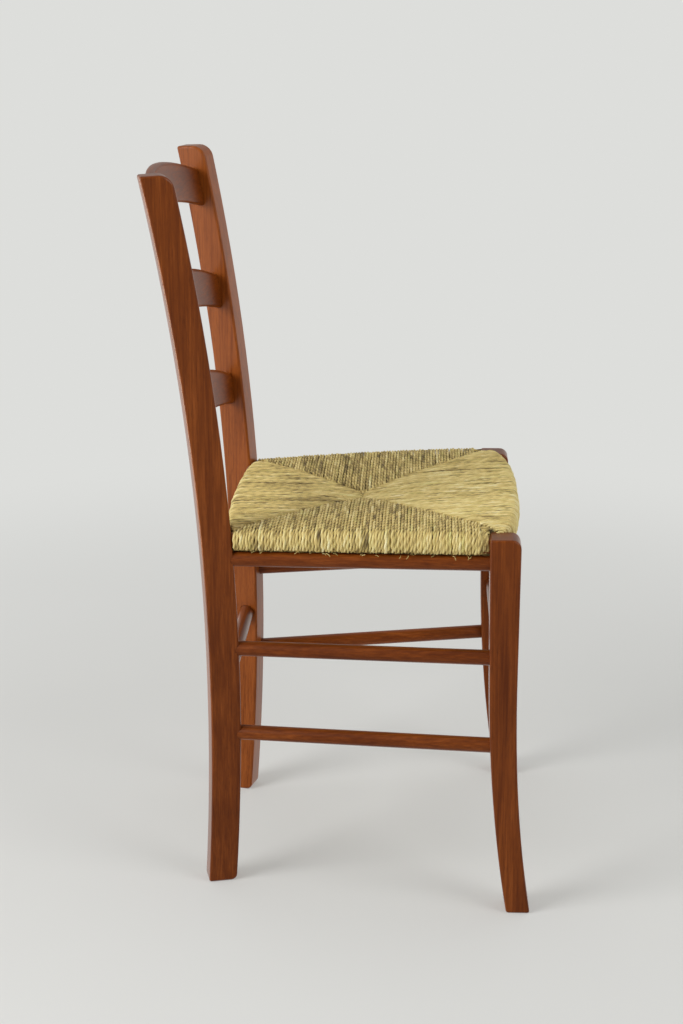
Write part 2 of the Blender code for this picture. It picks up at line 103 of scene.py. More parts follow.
SIDE_CORDS_Y = (-166.5, 121.3)
REAR_HALF, FRONT_HALF = 150.0, 187.1  # how far out the fore and aft cords go
REAR_LAST, FRONT_LAST = 142, 170  # beyond this they sink towards the legs
PLACE_SPREAD, LIFT_SPREAD, REACH_SPREAD = 0.14, 0.25, 0.3  # random differences between cords
RADIUS_SPREAD = 0.04
SIDE_FULL = 0.95  # how full the side cords are
TONE, TONE_SPREAD, TONE_RANGE = 0.58, 0.07, (0.2, 0.9)
# How much paler than that each kind of cord is
SIDE_PALE, REAR_PALE, FRONT_PALE = 0.03, -0.02, 0.08
# the short cords are paler as painted light, against the shade in the seat's corners
# the tucked cords' darkness is painted shade, for the shaded gap above the side rods
SHORT_PAINTED_LIGHT, FRAY_PALE, CORNER_PALE, TUCKED_PAINTED_SHADE = 0.08, 0.08, -0.12, -0.4
LAST_PAINTED_LIGHT = 0.14  # the outermost fore and aft cords, on top of that: painted light, against the shade near the legs
FRAY_COUNT, FRAY_RADIUS = 80, 0.3
STRAW = (  # colour by tone
    (0.05, (0.1, 0.065, 0.022)),
    (0.3, (0.36, 0.262, 0.09)),
    (0.52, (0.67, 0.51, 0.182)),
    (0.75, (0.83, 0.68, 0.29)),
    (1.0, (0.92, 0.82, 0.48)),
)
STRAW_GREEN = (0.8, 0.93, 0.72)  # what greener straws are multiplied by
STRAW_IOR = 1.42
# the stuffing's straw, painted dark as shade for the gaps between the cords
SHADED_STUFFING_STRAW = ((0.3, (0.05, 0.034, 0.013)), (0.7, (0.2, 0.145, 0.055)))
ALONG_X, ALONG_Y = np.array([1.0, 0.0, 0.0]), np.array([0.0, 1.0, 0.0])

# The straw between the upper and the lower cords
STUFFING_CELLS = 36
STUFFING_REAR, STUFFING_FRONT, STUFFING_SIDE = 12, 13, 25  # how far inside the rails it ends
STUFFING_DOWN = 4.3  # how far it lies inside the seat's surface
STUFFING_THIN = 1.5  # and how much further at its rim
STUFFING_LUMP = 0.25


# ---- nodes ----


class Nodes:
    """Short ways to add and link shader nodes."""

    def __init__(self, material):
        material.use_nodes = True
        self.tree = material.node_tree
        self.tree.nodes.clear()

    def add(self, kind, **settings):
        """A new node. Each setting is one of its attributes or, failing that, one of its inputs."""
        node = self.tree.nodes.new(kind)
        for key, value in settings.items():
            if hasattr(node, key):
                setattr(node, key, value)
            else:
                node.inputs[key.replace("_", " ").title()].default_value = value
        return node

    def link(self, source, target):
        self.tree.links.new(source, target)

    def math(self, operation, a, b=0.0, clamp=False):
        node = self.tree.nodes.new("ShaderNodeMath")
        node.operation, node.use_clamp = operation, clamp
        for socket, value in zip(node.inputs, (a, b)):
            if isinstance(value, (int, float)):
                socket.default_value = value
            else:
                self.link(value, socket)
        return node.outputs[0]

    def total(self, constant, *shares):
        """The constant plus the product of each (value, share)."""
        result = constant
        for value, share in shares:
            result = self.math("ADD", self.math("MULTIPLY", value, share), result)
        return result

    def fade(self, value, start, end, low, high):
        """Goes smoothly from low to high while the value goes from start to end."""
        node = self.add(
            "ShaderNodeMapRange",
            interpolation_type="SMOOTHSTEP",
            from_min=start,
            from_max=end,
            to_min=low,
            to_max=high,
        )
        self.link(value, node.inputs["Value"])
        return node.outputs[0]

    def ramp(self, factor, stops):
        """A colour ramp. Each stop is (place, colour)."""
        node = self.tree.nodes.new("ShaderNodeValToRGB")
        elements = node.color_ramp.elements
        while len(elements) < len(stops):
            elements.new(0.5)
        for element, (place, colour) in zip(elements, stops):
            element.position = place
            element.color = (*colour, 1)
        self.link(factor, node.inputs["Fac"])
        return node.outputs["Color"]

    def mix(self, blend, factor, a, b):
        node = self.tree.nodes.new("ShaderNodeMix")
        node.data_type, node.blend_type = "RGBA", blend
        for socket, value in ((node.inputs[0], factor), (node.inputs[6], a), (node.inputs[7], b)):
            if isinstance(value, (int, float)):
                socket.default_value = value
            elif isinstance(value, tuple):
                socket.default_value = (*value, 1)
            else:
                self.link(value, socket)
        return node.outputs[2]

    def noise(self, vector, scale, detail=2.0, roughness=0.5):
        node = self.tree.nodes.new("ShaderNodeTexNoise")
        node.inputs["Scale"].default_value = scale
        node.inputs["Detail"].default_value = detail
        node.inputs["Roughness"].default_value = roughness
        self.link(vector, node.inputs["Vector"])
        return node.outputs["Fac"]

    def stretched(self, vector, scale, offset=(0, 0, 0)):
        """The vector scaled along each axis. A small scale makes a noise long on that axis."""
        node = self.tree.nodes.new("ShaderNodeMapping")
        node.inputs["Scale"].default_value = scale
        node.inputs["Location"].default_value = offset
        self.link(vector, node.inputs["Vector"])
        return node.outputs["Vector"]

    def surface(self, colour, roughness, ior, height, strength, distance):
        """Ends a material with one shader, bumped by the height."""
        shader = self.add("ShaderNodeBsdfPrincipled")
        self.link(colour, shader.inputs["Base Color"])
        if isinstance(roughness, float):
            shader.inputs["Roughness"].default_value = roughness
        else:
            self.link(roughness, shader.inputs["Roughness"])
        shader.inputs["IOR"].default_value = ior
        bump = self.add("ShaderNodeBump", strength=strength, distance=distance)
        self.link(height, bump.inputs["Height"])
        self.link(bump.outputs["Normal"], shader.inputs["Normal"])
        self.end(shader)

    def end(self, shader, kind="ShaderNodeOutputMaterial"):
        self.link(shader.outputs[0], self.add(kind).inputs["Surface"])


# ---- wood ----

WOOD_DARK = (0.12, 0.024, 0.003)
WOOD_MID = (0.205, 0.046, 0.0045)
WOOD_LIGHT = (0.33, 0.084, 0.011)
PORE_COLOUR, PORE_SHARE = (0.06, 0.014, 0.003), 0.65
END_GRAIN_COLOUR, END_GRAIN_SHARE = (0.075, 0.025, 0.01), 0.25
LACQUER_ROUGHNESS, LACQUER_IOR = 0.24, 1.38
CREASE = math.radians(38)  # edges sharper than this stay sharp

# Each kind of piece: a part of its name, the axis of its grain and how much paler it is
WOOD_KINDS = (
    # the far rear leg is paler as painted light, for the stronger light on its inner face
    ("rear_leg_left", 2, 0.17),
    ("rear_leg_right", 2, -0.04),
    ("front_leg", 2, -0.08),
    ("slat", 0, -0.06),
    ("seat_rod", 1, -0.06),
    ("upper_stretcher", 1, -0.1),
    ("lower_stretcher", 1, 0.0),
    ("front_stretcher", 0, -0.02),
    ("rear_stretcher", 0, 0.0),
    ("seat_rail_front", 0, 0.0),
    ("seat_rail_rear", 0, 0.0),
    ("seat_rail_left", 1, 0.0),
    ("seat_rail_right", 1, 0.0),
)


def lacquered_wood(name, grain_axis, tone, offset):
    """Stained beech under satin lacquer, with its grain along one axis of the row's frame."""
    material = bpy.data.materials.new(name)
    n = Nodes(material)
    place = n.add("ShaderNodeTexCoord").outputs["Object"]

    def grain(fine, long, *detail):
        """A noise with one scale across the grain and another along it."""
        scale = tuple(long if axis == grain_axis else fine for axis in range(3))
        return n.noise(n.stretched(place, scale, offset), 1.0, *detail)

    warp = grain(9, 3, 1.0)
    bands = grain(75, 3.2, 3.0, 0.6)  # the growth rings
    streaks = grain(420, 11, 3.0, 0.6)
    pores = grain(1500, 90, 1.0, 0.4)
    blotch = grain(14, 6, 2.0)
    shades = n.total(tone - 0.35, (bands, 0.5), (streaks, 0.72), (blotch, 0.36), (warp, 0.1))
    stain = n.ramp(shades, ((0.25, WOOD_DARK), (0.5, WOOD_MID), (0.75, WOOD_LIGHT)))
    pit = n.math("MULTIPLY", n.math("SUBTRACT", 0.45, pores, clamp=True), 3.0, clamp=True)
    stain = n.mix("MIX", n.math("MULTIPLY", pit, PORE_SHARE), stain, PORE_COLOUR)
    # end grain soaks up more of the stain
    facing = n.add("ShaderNodeSeparateXYZ")
    n.link(n.add("ShaderNodeNewGeometry").outputs["Normal"], facing.inputs[0])
    end_grain = n.math("POWER", n.math("ABSOLUTE", facing.outputs[grain_axis]), 6.0)
    end_share = n.math("MULTIPLY", end_grain, END_GRAIN_SHARE)
    stain = n.mix("MIX", end_share, stain, END_GRAIN_COLOUR)
    gloss = n.total(LACQUER_ROUGHNESS, (streaks, 0.1), (blotch, 0.06))
    height = n.math("SUBTRACT", n.math("MULTIPLY", streaks, 0.5), n.math("MULTIPLY", pit, 0.4))
    n.surface(stain, gloss, LACQUER_IOR, height, strength=0.12, distance=0.0004)
    return material


def smooth_edges(obj):
    """Smooth shading that keeps flat faces flat and real corners sharp."""
    obj.data.shade_smooth()
    weld = obj.modifiers.new("weld", "WELD")
    weld.merge_threshold = 0.01 * MM
    split = obj.modifiers.new("split", "EDGE_SPLIT")
    split.split_angle = CREASE
    weighted = obj.modifiers.new("weighted", "WEIGHTED_NORMAL")
    weighted.weight = 60
    weighted.keep_sharp = True


def dress_wood():
    for index, (name, obj) in enumerate(sorted(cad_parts.items())):
        kind = next((kind for kind in WOOD_KINDS if kind[0] in name), None)
        if kind is None:
            continue
        offset = (index * 1.7, index * 2.3, index * 3.1)
        material = lacquered_wood(f"{name}_wood", kind[1], kind[2], offset)
        obj.data.materials.clear()
        obj.data.materials.append(material)
        smooth_edges(obj)


# ---- the shape of the rush ----


def forward(y):
    """0 at the rear rail and 1 at the front one."""
    return (REAR_Y - y) / (REAR_Y - FRONT_Y)


def side_x(y):
    """Outer face of the side rolls."""
    return SIDE_REAR_X + (SIDE_FRONT_X - SIDE_REAR_X) * forward(y)


def rear_y(x):
    """Outer face of the rear roll, which pulls in towards the posts."""
    return REAR_EDGE_Y - 2.5 * (np.abs(x) / 93) ** 2.3


def front_y(x):
    """Outer face of the front roll, which pulls in towards the legs, a little more at the left."""
    pull = np.where(x > 0, 19.2, 14.2)
    return FRONT_EDGE_Y + pull * (np.abs(x) / 182) ** 3


def dip(x, y):
    """How deep the dish is here, from 1 in the middle to about 0.05 at the rails."""
    back = y > CENTRE_Y
    depth = np.where(back, RUSH_HIGH[1] - CENTRE_Y, CENTRE_Y - RUSH_LOW[1])
    away = np.maximum(np.abs(x) / side_x(y), np.abs(y - CENTRE_Y) / depth)
    return np.exp(-away / DISH_SPREAD)


def top_z(x, y):
    """Height of the seat's top."""
    crest = CREST_REAR + (CREST_FRONT - CREST_REAR) * forward(y)
    return crest - DISH * dip(x, y)


def under_z(x, y):
    """Height of its underside."""
    flat = UNDER_REAR + (UNDER_FRONT - UNDER_REAR) * forward(y)
    return flat + UNDER_DISH * dip(x, y)


def seam_y(x, back):
    """Where the cords of the rear or front triangle end, on the diagonal seam."""
    corner = REAR_CORNER if back else FRONT_CORNER
    share = np.clip((np.abs(x) - CENTRE_HALF) / (corner[0] - CENTRE_HALF), 0, 1.2)
    return CENTRE_Y + (corner[1] - CENTRE_Y) * share


def seam_x(y):
    """Where the cords of a side triangle end."""
    corner = REAR_CORNER if y > CENTRE_Y else FRONT_CORNER
    share = (y - CENTRE_Y) / (corner[1] - CENTRE_Y)
    return CENTRE_HALF + (corner[0] - CENTRE_HALF) * share


# ---- cords ----


def resample(points, step):
    """The same line with points about step apart."""
    gaps = np.linalg.norm(np.diff(points, axis=0), axis=1)
    run = np.concatenate([[0], np.cumsum(gaps)])
    count = max(6, int(run[-1] / step) + 1)
    at = np.linspace(0, run[-1], count)
    return np.stack([np.interp(at, run, points[:, i]) for i in range(3)], 1), at


def smooth_noise(count, length, step):
    """Random values for points step apart, which change over about length."""
    knots = max(3, int(count * step / length) + 3)
    values = RNG.normal(0, 1, knots)
    at = np.linspace(0, knots - 1, count)
    low = np.floor(at).astype(int).clip(0, knots - 2)
    t = at - low
    t = t * t * (3 - 2 * t)
    return values[low] * (1 - t) + values[low + 1] * t


class CordMesh:
    """Collects twisted cords into one mesh."""

    def __init__(self):
        self.points, self.quads, self.caps = [], [], []
        self.tone, self.along = [], []
        self.count = 0

    def add(
        self, line, sideways, radius, tone, lump=LUMP, dark=GROOVE_PAINTED_SHADE, tip_painted_shade=TIP_PAINTED_SHADE, hand=1
    ):
        """Adds a cord along the line. A hand of 1 twists it right-handed and -1 left-handed."""
        line, run = resample(line, STEP)
        count = len(line)
        tangent = np.gradient(line, axis=0)
        tangent /= np.linalg.norm(tangent, axis=1)[:, None]
        side = sideways - (tangent @ sideways)[:, None] * tangent
        side /= np.linalg.norm(side, axis=1)[:, None]
        normal = np.cross(side, tangent)
        edge = np.abs(tangent[:, 2])  # 1 where the cord turns down over a rail
        phase = RNG.uniform(0, 2 * math.pi)
        turn = math.pi * run / TWIST + TURN_WAVER[0] * smooth_noise(count, TURN_WAVER[1], STEP)
        turn = phase + hand * turn
        angle = np.linspace(0, 2 * math.pi, AROUND, endpoint=False)
        waver = WIDTH_WAVER[0] * smooth_noise(count, WIDTH_WAVER[1], STEP)
        width = radius * (1 + waver + EDGE_FULL * edge)
        shape = 1 + lump * np.cos(2 * (angle[None, :] - turn[:, None]))
        reach = width[:, None] * shape
        ring = (
            line[:, None, :]
            + reach[:, :, None] * np.cos(angle)[None, :, None] * normal[:, None, :]
            + reach[:, :, None] * np.sin(angle)[None, :, None] * side[:, None, :]
        )
        base = self.count
        self.points.append(ring.reshape(-1, 3))
        i = np.arange(count - 1)[:, None] * AROUND
        j = np.arange(AROUND)[None, :]
        k = (j + 1) % AROUND
        quads = np.stack([i + j, i + k, i + AROUND + k, i + AROUND + j], -1)
        self.quads.append(quads.reshape(-1, 4) + base)
        self.caps.append(np.arange(AROUND)[::-1] + base)
        self.caps.append(np.arange(AROUND) + base + (count - 1) * AROUND)
        # painted light: paler where the cord turns down over a rail
        drift = tone + TONE_WAVER[0] * smooth_noise(count, TONE_WAVER[1], STEP) + EDGE_PAINTED_LIGHT * edge
        # painted shade at both ends, where the cord goes under at the seams
        drift -= tip_painted_shade * (np.exp(-run / TIP_LENGTH) + np.exp((run - run[-1]) / TIP_LENGTH))
        strand = np.cos(angle[None, :] - turn[:, None])
        # painted shade, darkest in the groove between the cord's two strands
        groove_shade_mask = (1 - strand**2) ** 3
        depth = dark * (1 - EDGE_GROOVE * edge)
        shade = drift[:, None] + STRAND_PALE * strand - depth[:, None] * groove_shade_mask
        self.tone.append(shade.reshape(-1))
        along = np.zeros((count, AROUND, 3))
        along[:, :, 0] = (run + RNG.uniform(0, 900))[:, None]
        along[:, :, 1] = np.cos(angle - phase)[None, :] * radius
        along[:, :, 2] = np.sin(angle - phase)[None, :] * radius
        self.along.append(along.reshape(-1, 3))
        self.count += count * AROUND

    def build(self, name, material):
        """One object of all the cords. Its attributes are tone, which carries the painted light and
        shade too, and along, a place in the fibres.
        """
        points = np.concatenate(self.points) * MM
        quads = np.concatenate(self.quads)
        caps = np.array(self.caps)
        mesh = bpy.data.meshes.new(name)
        mesh.vertices.add(len(points))
        mesh.vertices.foreach_set("co", points.astype(np.float32).ravel())
        loops = np.concatenate([quads.ravel(), caps.ravel()])
        totals = np.concatenate([np.full(len(quads), 4), np.full(len(caps), AROUND)])
        starts = np.concatenate([[0], np.cumsum(totals)[:-1]])
        mesh.loops.add(len(loops))
        mesh.loops.foreach_set("vertex_index", loops.astype(np.int32))
        mesh.polygons.add(len(totals))
        mesh.polygons.foreach_set("loop_start", starts.astype(np.int32))
        mesh.update(calc_edges=True)
        tone = mesh.attributes.new("tone", "FLOAT", "POINT")
        tone.data.foreach_set("value", np.concatenate(self.tone).astype(np.float32))
        along = mesh.attributes.new("along", "FLOAT_VECTOR", "POINT")
        along.data.foreach_set("vector", np.concatenate(self.along).astype(np.float32).ravel())
        mesh.shade_smooth()
        mesh.validate()
        mesh.materials.append(material)
        obj = bpy.data.objects.new(name, mesh)
        bpy.context.scene.collection.objects.link(obj)
        return obj


def roll_arc(top, under, reach, squareness, steps=16):
    """(outwards, height) points round a roll, from its crest down to its underside."""
    angle = np.linspace(math.pi / 2, -math.pi / 2, steps)
    power = 2 / squareness
    out = np.abs(np.cos(angle)) ** power * reach
    rise = np.sign(np.sin(angle)) * np.abs(np.sin(angle)) ** power
    return out, (top + under) / 2 + rise * (top - under) / 2


def wrapped(seam, outer, top_of, under_of, roll, squareness, drop):
    """(outwards, height) points of a cord from the seam, over the top, round the roll and back
    along the underside to the seam. Outwards grows from the middle of the seat to the rail."""
    crest = outer - roll
    start = min(seam - SEAM_OVERLAP, crest - 1)
    out = np.linspace(start, crest, max(3, int((crest - start) / 3)))
    fall = np.clip(1 - (out - start) / DIVE_LENGTH, 0, 1) ** 2
    top = top_of(out) - drop - DIVE * fall
    under = under_of(out) + DIVE * fall
    arc_out, arc_z = roll_arc(top[-1], under[-1], roll - drop, squareness)
    return (
        np.concatenate([out, crest + arc_out[1:-1], out[::-1]]),
        np.concatenate([top, arc_z[1:-1], under[::-1]]),
    )


def jitter(line, size, length):
    """The line with a slow random waver."""
    count = len(line)
    gap = np.linalg.norm(np.diff(line, axis=0), axis=1).mean()
    for axis in range(3):
        line[:, axis] += size * smooth_noise(count, length, gap)
    return line


def cord_tone():
    """Brightness of one cord: mostly straw, some olive, a few dark."""
    return float(np.clip(RNG.normal(TONE, TONE_SPREAD), *TONE_RANGE))


def inset(out, z, amount):
    """Moves an outline inwards, so that a cord of that radius lies inside it."""
    line = np.stack([out, z], 1)
    tangent = np.gradient(line, axis=0)
    tangent /= np.linalg.norm(tangent, axis=1)[:, None]
    normal = np.stack([-tangent[:, 1], tangent[:, 0]], 1)
    return out - normal[:, 0] * amount, z - normal[:, 1] * amount


def side_cords(side, material):
    """The triangle of one side: cords run across the chair, over the side rail."""
    cords = CordMesh()
    front, back = SIDE_CORDS_Y
    ys = np.linspace(front, back, 1 + round((back - front) / SIDE_PITCH))
    for y in ys:
        y = y + RNG.normal(0, PLACE_SPREAD)
        lift = RNG.normal(0, LIFT_SPREAD)
        outer = side_x(y) + RNG.normal(0, REACH_SPREAD)
        sag = SAG_REAR + (SAG_FRONT - SAG_REAR) * forward(y) + RNG.normal(0, REACH_SPREAD)
        crown = SIDE_CROWN * (1 - ((2 * y - back - front) / (back - front)) ** 2)

        def top(x):
            edge = np.exp((x - outer + SIDE_ROLL) / SHOULDER_WIDTH)
            return top_z(x, y) + lift + (crown - SHOULDER) * edge

        def under(x):
            return under_z(x, y) - sag * np.clip(1 - (outer - SIDE_ROLL - x) / 60, 0, 1)

        out, z = wrapped(seam_x(y), outer, top, under, SIDE_ROLL, SIDE_SQUARENESS, 0.0)
        out, z = inset(out, z, CORD_RADIUS)
        skew = RNG.normal(0, 0.002)
        line = np.stack([side * out, y + skew * (side_x(y) - out), z], 1)
        line = jitter(line, 0.13, 18)
        radius = CORD_RADIUS * RNG.normal(SIDE_FULL, RADIUS_SPREAD)
        cords.add(line, ALONG_Y, radius, cord_tone() + SIDE_PALE, lump=SIDE_LUMP, hand=-side)
    return cords.build(f"rush_{'left' if side > 0 else 'right'}", material)


def end_cords(back, material):
    """The rear or front triangle: cords run fore and aft, over the rear or front rail."""
    cords = CordMesh()
    half, last = (REAR_HALF, REAR_LAST) if back else (FRONT_HALF, FRONT_LAST)
    sign = 1 if back else -1
    for x in np.linspace(-half, half, 1 + 2 * round(half / END_PITCH)):
        x = x + RNG.normal(0, PLACE_SPREAD)
        lift = RNG.normal(0, LIFT_SPREAD)
        outer = float(rear_y(x) if back else front_y(x))
        out, z = wrapped(
            sign * (float(seam_y(x, back)) - CENTRE_Y),
            sign * (outer - CENTRE_Y) + RNG.normal(0, REACH_SPREAD),
            lambda d: top_z(x, CENTRE_Y + sign * d) + lift,
            lambda d: under_z(x, CENTRE_Y + sign * d) - lift,
            END_ROLL,
            END_SQUARENESS,
            2.2 * max(0.0, (abs(x) - last) / 10) ** 1.8,
        )
        out, z = inset(out, z, CORD_RADIUS)
        skew = RNG.normal(0, 0.003)
        line = np.stack([x + skew * (out.max() - out), CENTRE_Y + sign * out, z], 1)
        line = jitter(line, 0.16, 22)
        radius = CORD_RADIUS * RNG.normal(1, RADIUS_SPREAD)
        tone = cord_tone() + (REAR_PALE if back else FRONT_PALE)
        tone += LAST_PAINTED_LIGHT * min(1.0, max(0.0, (abs(x) - last + 14) / 18))
        cords.add(line, ALONG_X, radius, tone, dark=END_GROOVE_PAINTED_SHADE, hand=-1)
    return cords.build("rush_rear" if back else "rush_front", material)


def short_cords(cords, side, xs, start, end_of, fall_of):
    """Cords that run fore and aft over a corner, to the face of the leg there. end_of and fall_of
    give the y where a cord at x ends, and how far it lies below the seat's top."""
    for x in xs:
        ys = np.linspace(start, end_of(x), 9)
        z = top_z(x, ys) - CORD_RADIUS - 0.6 - fall_of(x)
        z -= 4 * np.clip(1 - np.abs(ys - start) / 5, 0, 1) ** 2
        line = jitter(np.stack([np.full(9, side * x), ys, z], 1), 0.25, 12)
        tone = cord_tone() + SHORT_PAINTED_LIGHT
        cords.add(line, ALONG_X, CORD_RADIUS, tone, dark=END_GROOVE_PAINTED_SHADE)


def tucked_cords(cords, side):
    """Cords pushed into the gap between the side cords and the round rod under them, painted dark as
    shade.
    """
    low, high = box_mm("seat_rod_left" if side > 0 else "seat_rod_right")
    inner, outer = np.sort(np.abs((low[0], high[0])))
    touching = SIDE_ROD_RADIUS + CORD_RADIUS  # from the rod's axis to a cord's that lies on it
    for inward in (0.0, 3.4, 6.8):
        rise = math.sqrt(touching**2 - inward**2)
        # the rod slopes up and outwards, from its low rear end to its high front end
        rear = (inner + SIDE_ROD_RADIUS - inward, high[1] - 4, low[2] + SIDE_ROD_RADIUS + rise)
        front = (outer - SIDE_ROD_RADIUS - inward, low[1] + 4, high[2] - SIDE_ROD_RADIUS + rise)
        line = np.linspace(rear, front, 40)
        line[:, 0] *= side
        cords.add(line, ALONG_X, CORD_RADIUS, cord_tone() + TUCKED_PAINTED_SHADE)


def corner_cords(material):
    """What fills the seat's corners beside the legs: short cords up to each leg, and in front a
    few that go over the side rail below them."""
    cords = CordMesh()
    for side in (1, -1):
        # each of these lies nearer the leg, lower and further in than the one before
        for step in range(4):
            y = -169.6 - 2.5 * step
            outer = side_x(y) - 2.5 - 0.9 * step
            top = float(top_z(190.0, y)) - 4.5 - 0.7 * step
            under = float(under_z(190.0, y)) + 0.8
            arc_out, arc_z = roll_arc(top, under, 15, 2.1)
            inner = outer - 30
            out = np.concatenate([[inner], outer - 15 + arc_out, [inner]])
            z = np.concatenate([[top + 1], arc_z, [under + 1]])
            lean = 2.5 * (z - under) / (top - under)
            line, _ = resample(np.stack([side * out, y + lean, z], 1), STEP)
            line = jitter(line, 0.2, 15)
            cords.add(line, ALONG_Y, CORD_RADIUS, cord_tone() + CORNER_PALE)
        short_cords(
            cords,
            side,
            np.arange(184.5, 203, 3.2),
            -163.5,
            lambda x: FRONT_LEG_BACK - 0.5,
            lambda x: 0.045 * (x - 181) ** 2,
        )
        short_cords(
            cords,
            side,
            np.arange(152.5, 174, 3.4),
            108.0,
            lambda x: 119.3 + 0.25 * (185 - x),
            lambda x: 1.2 + 0.016 * (x - 150) ** 2,
        )
        tucked_cords(cords, side)
    return cords.build("rush_corners", material)


def frays(material):
    """Loose ends of straw that stand a little off the cords."""
    cords = CordMesh()
    for _ in range(FRAY_COUNT):
        length = RNG.uniform(5, 13)
        heading = RNG.uniform(0, 2 * math.pi)
        across = np.array([math.cos(heading), math.sin(heading), 0.0])
        y = RNG.uniform(-160, 115)
        if RNG.random() < 0.5:
            side = RNG.choice((-1, 1))
            x = side * (side_x(y) - RNG.uniform(1.5, 12))
            start = np.array([x, y, float(under_z(x, y)) - 1])
            end = start + length * (0.6 * across + np.array([0, 0, -0.3]))
        else:
            x = RNG.uniform(-0.85, 0.85) * side_x(y)
            start = np.array([x, y, float(top_z(x, y)) - 1.5])
            end = start + length * across + np.array([0, 0, RNG.uniform(1.5, 3)])
        t = np.linspace(0, 1, 7)[:, None]
        bend = np.sin(math.pi * t) * 0.12 * length * np.array([-across[1], across[0], 0.5])
        line = start + (end - start) * t + bend
        sideways = np.array([0.3, 0.2, 1.0])  # not along any fray
        tone = cord_tone() + FRAY_PALE
        cords.add(line, sideways, FRAY_RADIUS, tone, lump=FRAY_LUMP, tip_painted_shade=0.0)
    return cords.build("rush_frays", material)


def rush_material():
    material = bpy.data.materials.new("rush_cord")
    n = Nodes(material)
    tone = n.add("ShaderNodeAttribute", attribute_name="tone").outputs["Fac"]
    along = n.add("ShaderNodeAttribute", attribute_name="along").outputs["Vector"]
    fibres = n.noise(n.stretched(along, (0.05, 2.2, 2.2)), 1.0, 3.0, 0.6)
    patches = n.noise(n.stretched(along, (0.035, 0.2, 0.2)), 1.0, 2.0)
    # both noises lie round 0.5, so that the constant takes half of each share off again
    value = n.total(-0.525, (tone, 1.0), (fibres, 0.75), (patches, 0.3))
    straw = n.ramp(value, STRAW)
    green = n.noise(n.stretched(along, (0.02, 0.1, 0.1), (31, 7, 3)), 1.0, 1.0)
    green = n.math("MULTIPLY", n.math("SUBTRACT", green, 0.5, clamp=True), 2.0, clamp=True)
    straw = n.mix("MULTIPLY", green, straw, STRAW_GREEN)
    rough = n.total(0.48, (fibres, 0.25))
    n.surface(straw, rough, STRAW_IOR, fibres, strength=0.5, distance=0.0003)
    return material


def stuffing_material():
    material = bpy.data.materials.new("rush_stuffing")
    n = Nodes(material)
    place = n.add("ShaderNodeTexCoord").outputs["Object"]
    straws = n.noise(n.stretched(place, (260, 60, 260)), 1.0, 4.0, 0.65)
    colour = n.ramp(straws, SHADED_STUFFING_STRAW)
    n.surface(colour, 0.9, 1.5, straws, strength=1.0, distance=0.002)
    return material


def stuffing(material):
    """Loose straw packed between the upper and the lower cords, inside the four rails. Its dark
    colour is painted shade, for the gaps between the cords where it shows.
    """
    cells = STUFFING_CELLS
    grid = np.linspace(-1, 1, cells + 1)
    to_rear = REAR_Y - STUFFING_REAR - CENTRE_Y
    to_front = CENTRE_Y - FRONT_Y - STUFFING_FRONT
    points = []
    for top in (True, False):
        for b in grid:
            y = CENTRE_Y + (to_rear if b > 0 else to_front) * b
            for a in grid:
                x = a * (side_x(y) - STUFFING_SIDE)
                rim = max(abs(a), abs(b))
                down = STUFFING_DOWN + STUFFING_THIN * max(0.0, (rim - 0.9) / 0.1)
                z = top_z(x, y) - down if top else under_z(x, y) + down
                z = float(z) + RNG.normal(0, STUFFING_LUMP)
                points.append((x * MM, y * MM, z * MM))
    row, layer = cells + 1, (cells + 1) ** 2
    faces = []
    for j in range(cells):
        for i in range(cells):
            a = j * row + i
            faces.append((a, a + 1, a + row + 1, a + row))
            faces.append(tuple(layer + v for v in (a, a + row, a + row + 1, a + 1)))
    rim = (
        list(range(cells))
        + [i * row + cells for i in range(cells)]
        + [layer - 1 - i for i in range(cells)]
        + [(cells - i) * row for i in range(cells)]
    )
    for a, b in zip(rim, rim[1:] + rim[:1]):
        faces.append((a, layer + a, layer + b, b))
    mesh = bpy.data.meshes.new("rush_stuffing")
    mesh.from_pydata(points, [], faces)
    mesh.validate()
    mesh.shade_smooth()
    mesh.materials.append(material)
    obj = bpy.data.objects.new("rush_stuffing", mesh)
    bpy.context.scene.collection.objects.link(obj)
    return obj


def dress_seat():
    straw = rush_material()
    pieces = [
        side_cords(1, straw),
        side_cords(-1, straw),
        end_cords(True, straw),
        end_cords(False, straw),
        corner_cords(straw),
        frays(straw),
        stuffing(stuffing_material()),
    ]
    for piece in pieces:
        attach(piece, "root")
    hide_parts("rush_seat")


# ---- studio ----

BACKDROP = (0.725, 0.73, 0.71)  # what the camera sees of the world, and of the floor far away
# What reflections and the lighting see of it, from the dim side that the camera stands on to the
# backdrop's side, and last the lit floor in front of the backdrop
SURROUNDINGS = (
    (0.0, (0.12, 0.12, 0.12)),
    (0.48, (0.47, 0.47, 0.46)),
    (0.8, (0.48, 0.48, 0.465)),
    (1.0, (1.0, 1.0, 0.96)),
)
PAPER = ((0.3, (0.75, 0.75, 0.73)), (0.7, (0.78, 0.78, 0.76)))
FLOOR_HALF = 120.0
# Each lamp's place, what it points at, its width and height in metres, and its power in watts. One
# with no height is round.
LAMPS = {
    "left_box": ((-1.6, 2.5, 1.8), (0, 0, 0.55), 1.9, None, 72),
    "right_box": ((-1.6, -2.5, 2.3), (0, 0, 0.4), 2.0, None, 33),
    "top_box": ((0.2, 0.0, 2.9), (0, 0, 0.4), 2.0, None, 8),
    "low_reflector": ((-0.18, 1.2, 0.4), (-0.22, 0.2, 0.55), 0.6, 0.8, 17),
    "side_reflector": ((-0.8, 1.4, 0.42), (-0.22, 0.2, 0.55), 1.3, 0.8, 4.5),
}
LOW_REFLECTOR_COLOUR = (1.0, 0.95, 0.76)


